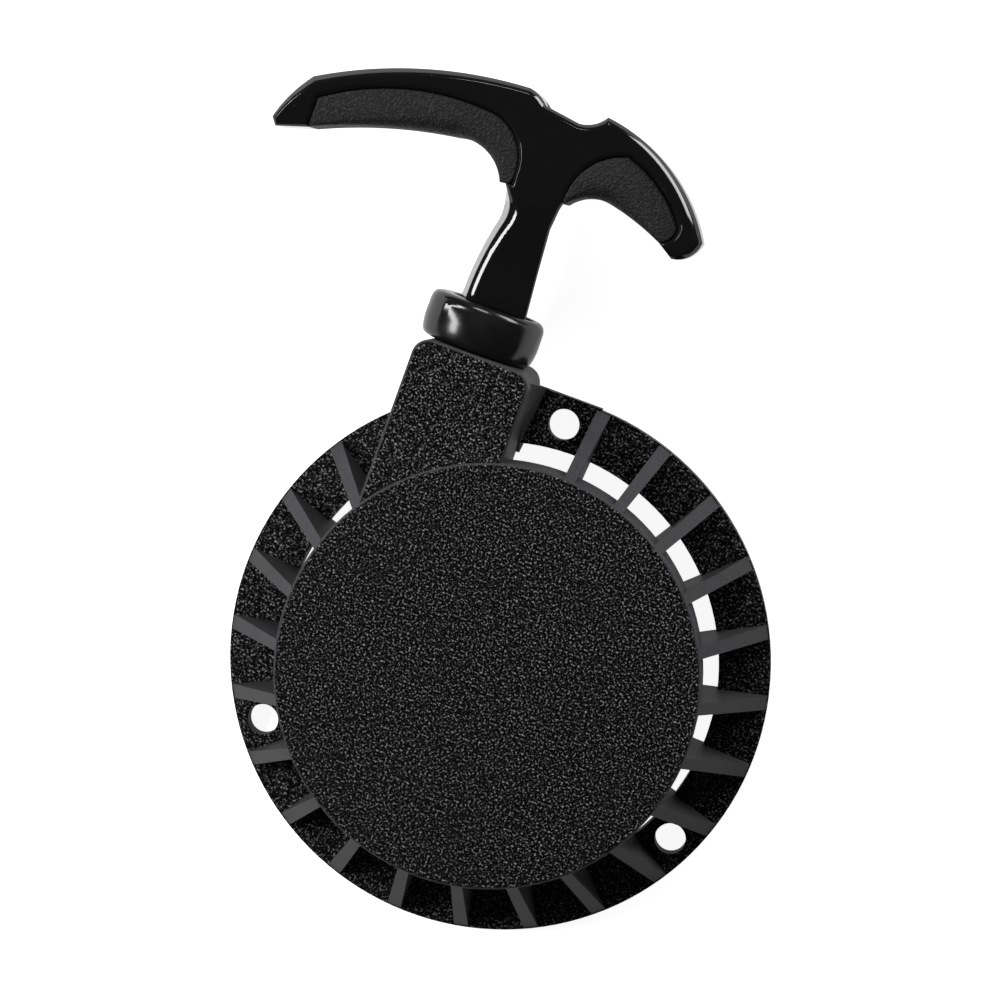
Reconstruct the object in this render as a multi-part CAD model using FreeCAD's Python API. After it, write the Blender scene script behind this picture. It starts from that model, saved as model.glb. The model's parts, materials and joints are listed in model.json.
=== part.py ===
import FreeCAD, Part

import math
import os

from FreeCAD import Vector

# Recoil starter for a small two-stroke engine. Millimetres.
# Origin: reel axis at the flange's mating face. +Z towards the outer disc face, +Y along the rope as it leaves.

# ---- driving dimensions -------------------------------------------------------------------------------------
FLANGE_R = 72.5             # outside of the mounting flange
FLANGE_INNER_R = 58.8
FLANGE_T = 5.0
BOLT_CIRCLE_R = 65.75
BOLT_HOLE_R = 4.15
FIRST_BOLT_DEG = 94.5       # azimuth of the hole beside the neck
BOLT_COUNT = 3

DRUM_R = 55.2               # outside of the drum that covers the reel
DRUM_WALL = 3.0
DRUM_TOP = 36.0             # overall height of the housing
DRUM_ROOF = 3.0
DRUM_SKIRT_Z = 18.7         # the drum wall stops here, leaving air windows between the ribs
EDGE_ROUND = 0.8

RIB_PITCH_DEG = 15.0
FIRST_RIB_DEG = 87.0
RIB_COUNT = 21              # three places under the neck have no rib
RIB_INNER_W = 2.9
RIB_OUTER_W = 3.9
RIB_TOP_Z = 35.2            # where a rib meets the drum

ROPE_X = -31.6              # rope axis, tangent to the outer turn on the reel
ROPE_Z = 18.5
ROPE_R = 1.75

NECK_LEFT = -46.3
NECK_RIGHT = -15.0
NECK_END_Y = 76.6
NECK_TOP = 35.5
NECK_WALL = 2.8
NECK_END_WALL = 4.0
NECK_CORNER_R = 4.5

BUMPER_R = 15.5             # the collar's widest radius
BUMPER_SHIFT = -1.2         # the collar's outside is off the rope axis by this
BUMPER_END_Y = 89.1
BUMPER_SEAT_DEPTH = 1.2     # recess that takes the foot of the handle
BUMPER_SEAT_R = 11.3
BUMPER_BORE_R = 4.05
PLUG_R = 7.0
PLUG_LIP_R = 8.4            # lip that holds the plug inside the neck's end wall
PLUG_START_Y = 70.3

POST_R = 5.0
POST_END_Z = 7.9
REEL_R = 36.0
GROOVE_W = 5.4
REEL_FLANGE_T = 1.6
WINDING_PITCH = 3.6
WINDING_HALF_TURNS = 8
WINDING_END_R = -ROPE_X - WINDING_PITCH / 2 * WINDING_HALF_TURNS
REEL_KNOT_LENGTH = 6.0

REEL_HUB_R = 11.0
REEL_BOSS_R = 10.2          # inside the recoil spring
REEL_BORE_R = 6.5
REEL_BOTTOM = 10.4
REEL_TOP = 31.8

SPRING_CASE_R = 30.2
SPRING_CASE_BOTTOM = 24.4
SHEET_T = 0.6
SPRING_STRIP_T = 0.5
SPRING_LOW = 25.6
SPRING_HIGH = 31.6
SPRING_INNER_R = 12.5
SPRING_PITCH = 2.2
SPRING_HALF_TURNS = 14

PAWL_PIVOT_R = 19.0
PAWL_PIN_R = 2.0
PAWL_LENGTH = 21.0          # pivot to tip
PAWL_LEAN_DEG = 249.4       # direction of the arm from its pivot, when the pivot is on +X
PAWL_LOW = 11.6
PAWL_HIGH = 14.0
NUB_DISTANCE = 9.0          # pivot to the nub that the friction plate drives
NUB_R = 1.5
PLATE_TURN_DEG = 30.0       # friction plate against the reel, pawls in to pawls out
PAWL_SWING_DEG = 25.0
PLATE_LOW = 8.1
PLATE_T = 1.2
PLATE_R = 24.5
SCREW_HEAD_T = 2.5
WASHER_T = 1.2

HANDLE_Z_HALF = 10.0        # half thickness of the handle's gloss body at the grip
STEM_Z_HALF = 7.2
SWELL_START_Y = 98.0        # the stem swells to the grip's thickness between these
SWELL_END_Y = 124.0
SWELL_EASE = 0.156          # share of the swelling reached a quarter of the way, for a smooth S
STEM_TWIST_DEG = 12.0       # turn of the stem about the rope
STEM_ROOT_Y = 114.0         # turned stem and straight wings overlap between these
STEM_TOP_Y = 120.0
HANDLE_TOP_Y = 150.0        # clear of the wings' top
ROPE_HOLE_R = 2.6
KNOT_POCKET_R = 5.6
PAD_Z_HALF = 9.4
TONGUE_Z_HALF = 3.0
HANDLE_FOOT_Y = BUMPER_END_Y - BUMPER_SEAT_DEPTH + 0.3
KNOT_FLOOR_Y = 128.0

RUNNING = 0.05              # radial running clearance
GAP = 0.3                   # clearance between moving bodies

UP = Vector(0, 0, 1)
ALONG_ROPE = Vector(0, 1, 0)


# ---- small helpers ------------------------------------------------------------------------------------------
def rod(radius, z0, z1, x=0.0, y=0.0):
    return Part.makeCylinder(radius, z1 - z0, Vector(x, y, z0), UP)


def tube(outer, inner, z0, z1, x=0.0, y=0.0):
    return rod(outer, z0, z1, x, y).cut(rod(inner, z0 - 1, z1 + 1, x, y))


def rope_rod(radius, y0, y1):
    return Part.makeCylinder(radius, y1 - y0, Vector(ROPE_X, y0, ROPE_Z), ALONG_ROPE)


def block(x0, x1, y0, y1, z0, z1):
    return Part.makeBox(x1 - x0, y1 - y0, z1 - z0, Vector(x0, y0, z0))


def polar(radius, degrees, z=0.0):
    angle = math.radians(degrees)
    return Vector(radius * math.cos(angle), radius * math.sin(angle), z)


def turned(shape, degrees, centre=Vector(0, 0, 0), axis=UP):
    copy = shape.copy()
    copy.rotate(centre, axis, degrees)
    return copy


def fused(shapes):
    return shapes[0].multiFuse(shapes[1:])


def path_wire(start, steps):
    """Outline from a start point: a step is one end point (straight) or (middle, end) of an arc."""
    edges = []
    here = Vector(*start)
    for step in steps:
        if isinstance(step[0], tuple):
            middle, end = Vector(*step[0]), Vector(*step[1])
            edges.append(Part.Arc(here, middle, end).toShape())
        else:
            end = Vector(*step)
            edges.append(Part.LineSegment(here, end).toShape())
        here = end
    return Part.Wire(edges)


def plate_from(start, steps, z0, z1):
    """Closed flat outline in X and Y, extruded from z0 to z1."""
    steps = list(steps)
    last = steps[-1][1] if isinstance(steps[-1][0], tuple) else steps[-1]
    if last != start:
        steps.append(start)
    face = Part.Face(path_wire(start, steps))
    face.translate(Vector(0, 0, z0))
    return face.extrude(Vector(0, 0, z1 - z0))


def flat_spiral(start_r, pitch, half_turns, start_deg, z, offset=0.0):
    """Anticlockwise spiral of semicircles whose centres step from side to side of the axis, start_deg 0 or 180."""
    edges = []
    side = 1 if start_deg == 0 else -1
    for k in range(half_turns):
        first = start_r + pitch / 2 * k
        second = first + pitch / 2
        circle = Part.Circle(Vector(side * (first - second) / 2, 0, z), UP, (first + second) / 2 + offset)
        start = 0.0 if side == 1 else math.pi
        edges.append(Part.ArcOfCircle(circle, start, start + math.pi).toShape())
        side = -side
    return edges


def swept_rope(wire, radius):
    """A round section swept along straight runs and tangent arcs."""
    start = wire.Edges[0].valueAt(wire.Edges[0].FirstParameter)
    tangent = wire.Edges[0].tangentAt(wire.Edges[0].FirstParameter)
    section = Part.Wire(Part.makeCircle(radius, start, tangent))
    solid = wire.makePipeShell([section], True, True)
    expected = math.pi * radius ** 2 * wire.Length
    print("swept length %.1f mm, volume ratio %.4f" % (wire.Length, solid.Volume / expected))
    return solid


# ---- housing ------------------------------------------------------------------------------------------------
def make_rib():
    top_line = [
        Vector(DRUM_R - DRUM_WALL + 1.0, -4, 0),
        Vector(FLANGE_R - 0.6, -4, 0),
        Vector(FLANGE_R, -4, FLANGE_T - 0.6),
        Vector(FLANGE_R - 0.8, -4, FLANGE_T + 0.9),
        Vector(DRUM_R, -4, RIB_TOP_Z),
        Vector(DRUM_R - DRUM_WALL + 1.0, -4, RIB_TOP_Z),
    ]
    side = Part.Face(Part.makePolygon(top_line + top_line[:1])).extrude(Vector(0, 8, 0))
    inner_x = DRUM_R - DRUM_WALL
    corners = [
        Vector(inner_x, -RIB_INNER_W / 2, 0),
        Vector(FLANGE_R + 1, -RIB_OUTER_W / 2, 0),
        Vector(FLANGE_R + 1, RIB_OUTER_W / 2, 0),
        Vector(inner_x, RIB_INNER_W / 2, 0),
    ]
    plan = Part.Face(Part.makePolygon(corners + corners[:1])).extrude(Vector(0, 0, DRUM_TOP))
    return side.common(plan)


def make_neck():
    inner_y = 20.0
    outline = path_wire(
        (NECK_LEFT, inner_y, 0),
        [
            (NECK_RIGHT, inner_y, 0),
            (NECK_RIGHT, NECK_END_Y - NECK_CORNER_R, 0),
            ((NECK_RIGHT - 0.293 * NECK_CORNER_R, NECK_END_Y - 0.293 * NECK_CORNER_R, 0),
             (NECK_RIGHT - NECK_CORNER_R, NECK_END_Y, 0)),
            (NECK_LEFT + NECK_CORNER_R, NECK_END_Y, 0),
            ((NECK_LEFT + 0.293 * NECK_CORNER_R, NECK_END_Y - 0.293 * NECK_CORNER_R, 0),
             (NECK_LEFT, NECK_END_Y - NECK_CORNER_R, 0)),
            (NECK_LEFT, inner_y, 0),
        ],
    )
    solid = Part.Face(outline).extrude(Vector(0, 0, NECK_TOP))
    top_edges = [e for e in solid.Edges if e.BoundBox.ZMin > NECK_TOP - 0.01]
    solid = solid.makeFillet(EDGE_ROUND, top_edges)
    channel = block(
        NECK_LEFT + NECK_WALL, NECK_RIGHT - NECK_WALL, inner_y - 1, NECK_END_Y - NECK_END_WALL, -1, NECK_TOP - 3.0
    )
    return solid.cut(channel)


def make_gusset():
    """Fills the corner between the neck's right wall and the flange: nothing at the top, widest at the foot."""
    top_y = NECK_END_Y - 2.0
    top_z = NECK_TOP - 1.5
    foot_y = FLANGE_R + 0.4
    root_y = 54.0
    buried_x = NECK_RIGHT - 2.2
    top = [Vector(NECK_RIGHT - 1.1, top_y, top_z), Vector(buried_x, top_y, top_z)]
    foot = [Vector(NECK_RIGHT + 3.1, foot_y, 0), Vector(buried_x, foot_y, 0)]
    root = [Vector(NECK_RIGHT + 0.9, root_y, 0), Vector(buried_x, root_y, 0)]
    polygons = [
        [foot[1], foot[0], top[0], top[1]],
        [foot[0], root[0], top[0]],
        [foot[1], root[1], root[0], foot[0]],
        [top[1], top[0], root[0], root[1]],
        [foot[1], top[1], root[1]],
    ]
    faces = [Part.Face(Part.makePolygon(points + points[:1])) for points in polygons]
    return Part.makeSolid(Part.makeShell(faces))


def make_housing():
    drum = rod(DRUM_R, DRUM_SKIRT_Z, DRUM_TOP)
    rim = [e for e in drum.Edges if e.BoundBox.ZMin > DRUM_TOP - 0.01]
    drum = drum.makeFillet(EDGE_ROUND, rim)
    cavity = rod(DRUM_R - DRUM_WALL, -1, DRUM_TOP - DRUM_ROOF)
    drum = drum.cut(cavity)
    neck = make_neck().cut(cavity)
    passage = block(NECK_LEFT + NECK_WALL, NECK_RIGHT - NECK_WALL, 30, 60, -1, DRUM_TOP - DRUM_ROOF)
    drum = drum.cut(passage)

    ring = tube(FLANGE_R, FLANGE_INNER_R, 0, FLANGE_T)
    corner = block(NECK_RIGHT - 1, 3, 50, FLANGE_R + 0.4, 0, FLANGE_T).cut(rod(FLANGE_INNER_R, -1, FLANGE_T + 1))
    left_corner = plate_from(
        (NECK_LEFT + 1, 40, 0),
        [(NECK_LEFT + 1, 60, 0), (NECK_LEFT - 3, 57.5, 0), (NECK_LEFT - 3, 40, 0)],
        0,
        FLANGE_T,
    ).cut(rod(FLANGE_INNER_R, -1, FLANGE_T + 1))

    rib = make_rib()
    ribs = [turned(rib, FIRST_RIB_DEG - RIB_PITCH_DEG * k) for k in range(RIB_COUNT)]

    case_seat = tube(32.4, 30.45, 29.0, DRUM_TOP - DRUM_ROOF + 0.5)
    post = rod(POST_R, POST_END_Z, DRUM_TOP - DRUM_ROOF + 0.5)

    body = fused([drum, neck, make_gusset(), ring, corner, left_corner, case_seat, post] + ribs)
    for k in range(BOLT_COUNT):
        centre = polar(BOLT_CIRCLE_R, FIRST_BOLT_DEG + 120.0 * k)
        body = body.cut(rod(BOLT_HOLE_R, -1, FLANGE_T + 10, centre.x, centre.y))
    body = body.cut(rope_rod(PLUG_R, NECK_END_Y - NECK_END_WALL - 1, NECK_END_Y + 1))
    body = body.cut(rod(3.4, POST_END_Z - 1, 20.0))
    body = body.cut(rod(2.7, 19.0, 25.0))
    return body


def make_threaded_insert():
    """Brass insert in the post, knurled outside as shallow flats, tapped for the centre screw."""
    body = rod(3.4, POST_END_Z + 0.2, 18.5)
    groove = tube(4.0, 3.0, 12.6, 13.8)
    return body.cut(groove).cut(rod(2.5, POST_END_Z - 1, 20))


# ---- rope way -----------------------------------------------------------------------------------------------
def make_rope_eyelet():
    """Flanged steel ferrule that keeps the rope off the rubber and the plastic."""
    stem = rope_rod(4.0, 70.0, 84.0)
    head = rope_rod(6.0, 69.0, 70.2)
    bore = rope_rod(ROPE_HOLE_R, PLUG_START_Y - 10, BUMPER_END_Y + 1)
    return fused([stem, head]).cut(bore)


def make_handle_bumper():
    """Rubber collar on the neck's end, with a plug through the end wall and a seat for the handle's foot."""
    y0 = NECK_END_Y + RUNNING
    y1 = BUMPER_END_Y
    collar = path_wire(
        (0, y0, 0),
        [
            (BUMPER_R - 3.2, y0, 0),
            ((BUMPER_R - 1.2, y0 + 0.9, 0), (BUMPER_R - 0.4, y0 + 3.0, 0)),
            (BUMPER_R, y1 - 2.8, 0),
            ((BUMPER_R - 0.8, y1 - 0.8, 0), (BUMPER_R - 2.6, y1, 0)),
            (0, y1, 0),
            (0, y0, 0),
        ],
    )
    plug = path_wire(
        (0, PLUG_START_Y, 0),
        [
            (PLUG_LIP_R, PLUG_START_Y, 0),
            (PLUG_LIP_R, PLUG_START_Y + 1.3, 0),
            (PLUG_R, PLUG_START_Y + 2.2, 0),
            (PLUG_R, y0 + 1.0, 0),
            (0, y0 + 1.0, 0),
            (0, PLUG_START_Y, 0),
        ],
    )
    solids = [Part.Face(wire).revolve(Vector(0, 0, 0), ALONG_ROPE, 360) for wire in (collar, plug)]
    solids[0].translate(Vector(ROPE_X + BUMPER_SHIFT, 0, ROPE_Z))
    solids[1].translate(Vector(ROPE_X, 0, ROPE_Z))
    bumper = fused(solids)
    bumper = bumper.cut(rope_rod(BUMPER_SEAT_R, y1 - BUMPER_SEAT_DEPTH, y1 + 1))
    return bumper.cut(rope_rod(BUMPER_BORE_R, PLUG_START_Y - 1, y1 + 1))


def make_rope_lead():
    """The straight run from the reel's tangent point to the knot inside the handle."""
    return rope_rod(ROPE_R, 0.0, KNOT_FLOOR_Y + 1.2)


def make_rope_winding():
    """Flat coil on the reel from the tangent point inwards, then a tight arc into the hub."""
    edges = flat_spiral(-ROPE_X, -WINDING_PITCH, WINDING_HALF_TURNS, 180, ROPE_Z)
    bend = Part.Circle(Vector(-WINDING_END_R / 2, 0, ROPE_Z), UP, WINDING_END_R / 2)
    edges.append(Part.ArcOfCircle(bend, math.pi, 1.5 * math.pi).toShape())
    return swept_rope(Part.Wire(edges), ROPE_R)


def make_knot(length, radius):
    """A pulled-tight knot as a turned body: two fat turns of rope and a short tail, along +Y from the origin."""
    lobe = length * 0.42
    profile = path_wire(
        (0, 0, 0),
        [
            (radius * 0.55, 0, 0),
            ((radius, lobe / 2, 0), (radius * 0.75, lobe, 0)),
            ((radius * 0.95, lobe * 1.5, 0), (radius * 0.5, lobe * 1.95, 0)),
            (radius * 0.35, length, 0),
            (0, length, 0),
            (0, 0, 0),
        ],
    )
    return Part.Face(profile).revolve(Vector(0, 0, 0), ALONG_ROPE, 360)


def make_rope_handle_knot():
    knot = make_knot(9.0, 4.6)
    knot.translate(Vector(ROPE_X, KNOT_FLOOR_Y + 1.2, ROPE_Z))
    return knot


def make_rope_reel_knot():
    knot = make_knot(REEL_KNOT_LENGTH, 2.8)
    knot.rotate(Vector(0, 0, 0), UP, -90)
    knot.translate(Vector(-WINDING_END_R / 2, -WINDING_END_R / 2, ROPE_Z))
    return knot


def make_rope_stop_plate():
    return rope_rod(5.4, KNOT_FLOOR_Y, KNOT_FLOOR_Y + 1.1).cut(rope_rod(2.1, KNOT_FLOOR_Y - 1, KNOT_FLOOR_Y + 3))


# ---- handle -------------------------------------------------------------------------------------------------
def on_rope(points):
    """Outline points are given from the rope axis; this puts them in the part's frame."""
    shifted = []
    for step in points:
        if isinstance(step[0], tuple):
            shifted.append(tuple((ROPE_X + u, v, 0) for u, v in step))
        else:
            shifted.append((ROPE_X + step[0], step[1], 0))
    return shifted


BODY_OUTLINE = [
    (-8.9, HANDLE_FOOT_Y),
    ((-8.1, 100.0), (-6.35, 109.8)),
    ((-5.9, 113.0), (-6.35, 116.0)),
    (-8.0, 120.2),
    (-6.3, 120.6),
    ((-8.6, 131.2), (-15.2, 135.7)),
    ((-32.0, 135.6), (-60.4, 124.4)),
    (-60.4, 116.5),
    (-68.7, 113.9),
    (-70.2, 115.9),
    ((-67.4, 123.4), (-63.7, 129.5)),
    ((-39.0, 140.3), (-9.6, 145.1)),
    ((-6.4, 143.9), (-4.3, 142.2)),
    (5.2, 140.8),
    ((8.5, 141.8), (11.6, 144.8)),
    ((30.6, 138.4), (45.3, 123.3)),
    ((43.0, 118.8), (39.0, 116.5)),
    (34.7, 119.3),
    ((37.7, 121.6), (37.9, 124.4)),
    ((31.0, 131.6), (20.1, 137.0)),
    ((11.8, 132.0), (8.1, 121.0)),
    ((6.5, 117.5), (5.7, 113.0)),
    (7.9, HANDLE_FOOT_Y),
]
LEFT_PAD_OUTLINE = [
    (-6.6, 120.9),
    ((-9.0, 131.0), (-15.4, 135.2)),
    ((-32.0, 135.1), (-60.1, 124.0)),
    (-60.1, 116.9),
    ((-44.0, 122.7), (-24.0, 127.0)),
    ((-15.1, 126.3), (-9.3, 120.5)),
    (-6.6, 120.9),
]
RIGHT_PAD_OUTLINE = [
    (8.5, 121.0),
    ((12.3, 131.7), (20.1, 136.5)),
    ((30.6, 131.0), (37.4, 124.2)),
    ((37.1, 122.0), (34.2, 119.6)),
    ((27.2, 122.2), (19.1, 124.3)),
    ((13.0, 123.6), (8.8, 120.3)),
    (8.5, 121.0),
]
LEFT_TONGUE_OUTLINE = [
    (-6.0, 128.0),
    ((-9.0, 131.0), (-12.5, 132.6)),
    ((-33.0, 131.0), (-60.9, 120.6)),
    ((-38.0, 138.0), (-6.0, 140.0)),
    (-6.0, 128.0),
]
RIGHT_TONGUE_OUTLINE = [
    (6.0, 128.0),
    ((12.0, 131.0), (19.5, 131.6)),
    ((29.0, 127.6), (36.8, 121.6)),
    ((27.0, 136.0), (6.0, 140.0)),
    (6.0, 128.0),
]


def slab(outline, z_half):
    points = on_rope(outline)
    return plate_from(points[0], points[1:], ROPE_Z - z_half, ROPE_Z + z_half)


def make_tongues():
    return [slab(LEFT_TONGUE_OUTLINE, TONGUE_Z_HALF), slab(RIGHT_TONGUE_OUTLINE, TONGUE_Z_HALF)]


def handle_side_view():
    """The handle seen from its side: thin at the stem, swelling to full thickness at the grip."""
    rise = HANDLE_Z_HALF - STEM_Z_HALF
    middle_y = (SWELL_START_Y + SWELL_END_Y) / 2
    quarter_y = (SWELL_END_Y - SWELL_START_Y) / 4

    def swelling_edge(side):
        return [
            (0, SWELL_START_Y, side * STEM_Z_HALF),
            (0, middle_y - quarter_y, side * (STEM_Z_HALF + rise * SWELL_EASE)),
            (0, middle_y, side * (STEM_Z_HALF + rise / 2)),
            (0, middle_y + quarter_y, side * (HANDLE_Z_HALF - rise * SWELL_EASE)),
            (0, SWELL_END_Y, side * HANDLE_Z_HALF),
        ]

    foot_y = HANDLE_FOOT_Y - 1
    front = swelling_edge(1)
    back = swelling_edge(-1)
    back.reverse()
    start = (0, foot_y, -STEM_Z_HALF)
    steps = [
        (0, foot_y, STEM_Z_HALF),
        front[0],
        (front[1], front[2]),
        (front[3], front[4]),
        (0, HANDLE_TOP_Y, HANDLE_Z_HALF),
        (0, HANDLE_TOP_Y, -HANDLE_Z_HALF),
        back[0],
        (back[1], back[2]),
        (back[3], back[4]),
        start,
    ]
    span = 200.0
    view = Part.Face(path_wire(start, steps)).extrude(Vector(span, 0, 0))
    view.translate(Vector(ROPE_X - span / 2, 0, ROPE_Z))
    return view


def stem_zone(top_y):
    return block(ROPE_X - 15, ROPE_X + 15, HANDLE_FOOT_Y - 2, top_y, ROPE_Z - 20, ROPE_Z + 20)


def make_handle_body():
    """Wings and stem in one moulding; the stem is turned a little about the rope, so its left wall looks up."""
    upright = slab(BODY_OUTLINE, HANDLE_Z_HALF).common(handle_side_view())
    wings = upright.cut(stem_zone(STEM_ROOT_Y))
    stem = turned(upright.common(stem_zone(STEM_TOP_Y)), STEM_TWIST_DEG, Vector(ROPE_X, 0, ROPE_Z), ALONG_ROPE)
    body = fused([wings, stem] + make_tongues())
    seat_clearance = rope_rod(20, HANDLE_FOOT_Y - 1, BUMPER_END_Y + GAP).cut(
        rope_rod(BUMPER_SEAT_R - GAP, HANDLE_FOOT_Y - 2, BUMPER_END_Y + 1)
    )
    body = body.cut(seat_clearance)
    body = body.cut(rope_rod(ROPE_HOLE_R, HANDLE_FOOT_Y - 1, KNOT_FLOOR_Y + 1))
    return body.cut(rope_rod(KNOT_POCKET_R, KNOT_FLOOR_Y, HANDLE_TOP_Y))


def make_pad(outline):
    pad = slab(outline, PAD_Z_HALF)
    for tongue in make_tongues():
        pad = pad.cut(tongue)
    return pad


# ---- reel ---------------------------------------------------------------------------------------------------
def make_reel():
    groove_low = ROPE_Z - GROOVE_W / 2
    groove_high = ROPE_Z + GROOVE_W / 2
    low = groove_low - REEL_FLANGE_T
    high = groove_high + REEL_FLANGE_T
    groove_r = WINDING_END_R - ROPE_R - RUNNING
    profile = [
        (REEL_BORE_R, REEL_BOTTOM),
        (REEL_HUB_R, REEL_BOTTOM),
        (REEL_HUB_R, low),
        (REEL_R - 0.5, low),
        (REEL_R, low + 0.5),
        (REEL_R, groove_low - 0.3),
        (REEL_R - 0.6, groove_low),
        (groove_r, groove_low),
        (groove_r, groove_high),
        (REEL_R - 0.6, groove_high),
        (REEL_R, groove_high + 0.3),
        (REEL_R, high - 0.5),
        (REEL_R - 0.5, high),
        (REEL_BOSS_R, high),
        (REEL_BOSS_R, REEL_TOP),
        (REEL_BORE_R, REEL_TOP),
        (REEL_BORE_R, REEL_BOTTOM),
    ]
    section = Part.Face(Part.makePolygon([Vector(r, 0, z) for r, z in profile]))
    reel = section.revolve(Vector(0, 0, 0), UP, 360)

    rope_slot = Part.makeTorus(WINDING_END_R / 2, ROPE_R + 0.1, Vector(-WINDING_END_R / 2, 0, ROPE_Z), UP)
    quarter = block(-WINDING_END_R - 3, -WINDING_END_R / 2, -WINDING_END_R, 0.5, low, high)
    reel = reel.cut(rope_slot.common(quarter))
    pocket_x = -WINDING_END_R / 2 + REEL_KNOT_LENGTH / 2
    pocket_y = -WINDING_END_R / 2
    reel = reel.cut(rod(3.6, low - 5, ROPE_Z + 3.3, pocket_x, pocket_y))
    hook_window = block(REEL_BOSS_R - 3.2, REEL_BOSS_R + 1, -0.8, 0.8, SPRING_CASE_BOTTOM, REEL_TOP + 1)
    reel = reel.cut(hook_window)
    for k in range(2):
        pin = polar(PAWL_PIVOT_R, 180.0 * k)
        reel = reel.cut(rod(1.5, low - 1, groove_low + 1, pin.x, pin.y))
    return reel


def make_reel_bush():
    return tube(REEL_BORE_R, POST_R + RUNNING, REEL_BOTTOM, REEL_TOP)


def make_thrust_washer():
    return tube(REEL_BOSS_R - 0.6, POST_R + 0.1, REEL_TOP + 0.1, DRUM_TOP - DRUM_ROOF - SHEET_T)


# ---- recoil spring ------------------------------------------------------------------------------------------
def make_spring_case():
    roof_z = DRUM_TOP - DRUM_ROOF
    cup = rod(SPRING_CASE_R, SPRING_CASE_BOTTOM + SHEET_T, roof_z)
    cup = cup.makeFillet(0.5, [e for e in cup.Edges if e.BoundBox.ZMin > roof_z - 0.01])
    cup = cup.cut(rod(SPRING_CASE_R - SHEET_T, SPRING_CASE_BOTTOM, roof_z - SHEET_T))
    cup = cup.cut(rod(POST_R + 0.1, SPRING_CASE_BOTTOM, roof_z + 1))
    hook_slot = block(SPRING_CASE_R - 2, SPRING_CASE_R + 1, -1, 1, SPRING_LOW - 0.3, SPRING_HIGH + 0.3)
    return cup.cut(hook_slot)


def make_spring_cover():
    return tube(SPRING_CASE_R, REEL_BOSS_R + 1.0, SPRING_CASE_BOTTOM, SPRING_CASE_BOTTOM + SHEET_T)


def make_recoil_spring():
    """Steel strip wound as a flat spiral, with a hook at each end."""
    outer_r = SPRING_INNER_R + SPRING_PITCH / 2 * SPRING_HALF_TURNS
    half = SPRING_STRIP_T / 2
    inner_side = flat_spiral(SPRING_INNER_R, SPRING_PITCH, SPRING_HALF_TURNS, 0, SPRING_LOW, -half)
    outer_side = flat_spiral(SPRING_INNER_R, SPRING_PITCH, SPRING_HALF_TURNS, 0, SPRING_LOW, half)
    ends = []
    for radius in (SPRING_INNER_R, outer_r):
        near = Vector(radius - half, 0, SPRING_LOW)
        far = Vector(radius + half, 0, SPRING_LOW)
        ends.append(Part.LineSegment(near, far).toShape())
    outline = Part.Wire(Part.__sortEdges__(inner_side + outer_side + ends))
    height = SPRING_HIGH - SPRING_LOW
    strip = Part.Face(outline).extrude(Vector(0, 0, height))
    inner_hook = block(REEL_BOSS_R - 2.2, SPRING_INNER_R + half, -half, half, SPRING_LOW, SPRING_HIGH)
    outer_hook = block(outer_r - half, SPRING_CASE_R + 0.1, -half, half, SPRING_LOW, SPRING_HIGH)
    return fused([strip, inner_hook, outer_hook])


# ---- pawls and friction plate -------------------------------------------------------------------------------
def pawl_point(distance, swing_deg=0.0):
    """A point on the arm of the pawl whose pivot is on +X."""
    return polar(PAWL_PIVOT_R, 0) + polar(distance, PAWL_LEAN_DEG + swing_deg)


def make_pawl(index):
    """Lever with a round eye, a curved back, a square driving tip and a nub for the friction plate."""
    eye_r = 3.8
    arm = plate_from(
        (0, -eye_r, 0),
        [
            ((PAWL_LENGTH * 0.55, -4.1, 0), (PAWL_LENGTH, -1.9, 0)),
            (PAWL_LENGTH, 2.3, 0),
            ((PAWL_LENGTH * 0.5, 2.4, 0), (0, eye_r, 0)),
        ],
        PAWL_LOW,
        PAWL_HIGH,
    )
    lever = fused([arm, rod(eye_r, PAWL_LOW, PAWL_HIGH), rod(NUB_R, PLATE_LOW + 0.3, PAWL_LOW, NUB_DISTANCE, 0)])
    lever = lever.cut(rod(PAWL_PIN_R + RUNNING, PAWL_LOW - 1, PAWL_HIGH + 1))
    lever.rotate(Vector(0, 0, 0), UP, PAWL_LEAN_DEG)
    lever.translate(polar(PAWL_PIVOT_R, 0))
    return turned(lever, 180.0 * index)


def make_pawl_pins():
    """Two rivets: a spigot in the reel, a shank for the pawl and a head below it."""
    low_flange = ROPE_Z - GROOVE_W / 2 - REEL_FLANGE_T
    pins = []
    for k in range(2):
        at = polar(PAWL_PIVOT_R, 180.0 * k)
        spigot = rod(1.5, low_flange, low_flange + REEL_FLANGE_T, at.x, at.y)
        shank = rod(PAWL_PIN_R, 10.5, low_flange, at.x, at.y)
        head = rod(2.9, 9.8, 10.5, at.x, at.y)
        pins.append(fused([spigot, shank, head]))
    return Part.makeCompound(pins)


def make_pawl_springs():
    """Two flat hair springs round the pins: one leg bears on the reel's hub, the other on the pawl's arm."""
    wire_r = 0.3
    coil_r = PAWL_PIN_R + 0.25 + wire_r
    level = PAWL_LOW - 0.15 - wire_r
    edges = flat_spiral(coil_r, 0.72, 3, 180, level)
    end = edges[-1].valueAt(edges[-1].LastParameter)
    leg_end = end + Vector(0, 6.0, 0)
    edges.append(Part.LineSegment(end, leg_end).toShape())
    start = Vector(-coil_r, 0, level)
    edges.insert(0, Part.LineSegment(start + Vector(0, 5.5, 0), start).toShape())
    spring = swept_rope(Part.Wire(edges), wire_r)
    spring.rotate(Vector(0, 0, 0), UP, 100.0)
    spring.translate(polar(PAWL_PIVOT_R, 0))
    return Part.makeCompound([spring, turned(spring, 180.0)])


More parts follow.
